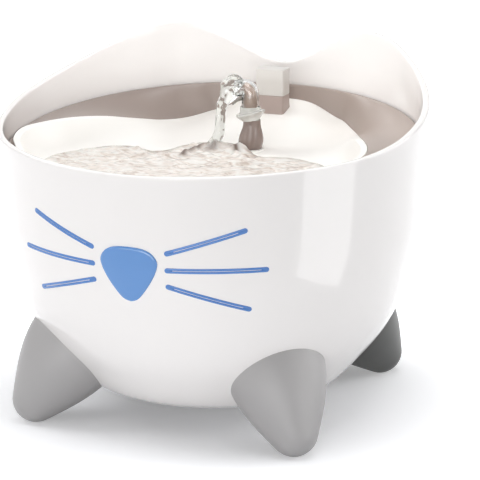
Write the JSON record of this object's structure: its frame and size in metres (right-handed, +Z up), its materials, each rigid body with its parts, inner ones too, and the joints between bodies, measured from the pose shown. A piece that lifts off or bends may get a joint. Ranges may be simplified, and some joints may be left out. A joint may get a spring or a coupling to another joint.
{
  "type": "pet water fountain",
  "caption": "Free-standing pet water fountain: round bowl with an ear-shaped rim, cone feet, an inset face, and a lift-out deck with drinking tray, spout and submerged pump.",
  "frame": {"origin": "on the floor, under the middle of the bowl", "axes": "+Z up, -Y the way the nose looks, +X to the right seen from the front"},
  "size_m": [0.2524, 0.2519, 0.21],
  "materials": {
    "gloss_white": "glossy white moulded plastic",
    "blue_lens": "clear blue lens plastic",
    "blue_inlay": "glossy blue plastic",
    "foot_grey": "satin warm grey plastic",
    "taupe": "satin taupe plastic",
    "tray_white": "satin warm white plastic",
    "cap_white": "satin white plastic",
    "clear": "clear moulded plastic",
    "soft_black": "black rubber",
    "soft_clear": "soft translucent silicone",
    "pump_black": "black moulded plastic",
    "inner_white": "white moulded plastic",
    "cup_smoke": "smoked clear plastic",
    "foam": "open-cell filter foam",
    "carbon": "carbon-filled fleece",
    "board_green": "circuit board",
    "led": "clear LED bodies",
    "steel": "stainless steel",
    "ferrite": "moulded ferrite",
    "core_iron": "laminated iron",
    "copper": "enamelled copper wire",
    "bush": "bearing plastic"
  },
  "bodies": {
    "base": {"bowl": "gloss_white", "nose_lens": "blue_lens", "nose_gasket": "soft_black", "light_pod": "inner_white", "light_board": "board_green", "nose_leds": "led", "whisker_left_upper": "blue_inlay", "whisker_left_middle": "blue_inlay", "whisker_left_lower": "blue_inlay", "whisker_right_upper": "blue_inlay", "whisker_right_middle": "blue_inlay", "whisker_right_lower": "blue_inlay", "foot_front_left": "foot_grey", "foot_front_right": "foot_grey", "foot_back_left": "foot_grey", "foot_back_right": "foot_grey", "foot_screws": "steel", "foot_washers": "soft_black", "filter_cup": "cup_smoke", "filter_foam": "foam", "carbon_frame": "inner_white", "carbon_pad": "carbon", "pump_casing": "pump_black", "pump_back_cover": "pump_black", "pump_volute_cover": "pump_black", "suction_cups": "soft_black", "rotor_shaft": "steel", "shaft_bushes": "bush", "stator_core": "core_iron", "stator_coil": "copper", "riser_pipe": "clear", "pump_lead": "soft_black", "lead_plug": "soft_black", "supply_lead": "soft_black", "nose_lead": "soft_black", "lead_junction": "pump_black", "cable_grommet": "soft_black", "lead_clips": "inner_white"},
    "rotor": {"impeller": "inner_white", "rotor_magnet": "ferrite"},
    "dial": {"flow_dial": "inner_white"},
    "lid": {"filter_lid": "inner_white"},
    "deck": {"deck": "taupe", "deck_ring": "soft_black", "connector_tower": "taupe", "lead_socket": "pump_black"},
    "cap": {"tower_cap": "cap_white"},
    "tray": {"drinking_tray": "tray_white", "tray_gasket": "soft_clear"},
    "spout": {"spout_stem": "clear", "spout_nozzle": "clear", "riser_seal": "soft_black"}
  },
  "joints": [
    {"name": "rotor_spin", "type": "hinge", "parent": "base", "child": "rotor", "pos_m": [0.013, 0.03, 0.042], "axis": [0, 1, 0], "continuous": true},
    {"name": "flow_dial_turn", "type": "hinge", "parent": "base", "child": "dial", "pos_m": [0.013, 0.0146, 0.042], "axis": [0, 1, 0], "range_deg": [0, 90]},
    {"name": "lid_lift", "type": "slide", "parent": "base", "child": "lid", "axis": [0, 0, 1], "range_m": [0, 0.025]},
    {"name": "deck_lift", "type": "slide", "parent": "base", "child": "deck", "axis": [0, 0, 1], "range_m": [0, 0.08]},
    {"name": "cap_lift", "type": "slide", "parent": "deck", "child": "cap", "axis": [0, 0, 1], "range_m": [0, 0.02]},
    {"name": "tray_lift", "type": "slide", "parent": "deck", "child": "tray", "axis": [0, 0, 1], "range_m": [0, 0.05]},
    {"name": "spout_turn", "type": "hinge", "parent": "tray", "child": "spout", "pos_m": [0.013, 0.028, 0.16], "axis": [0, 0, 1], "continuous": true}
  ]
}
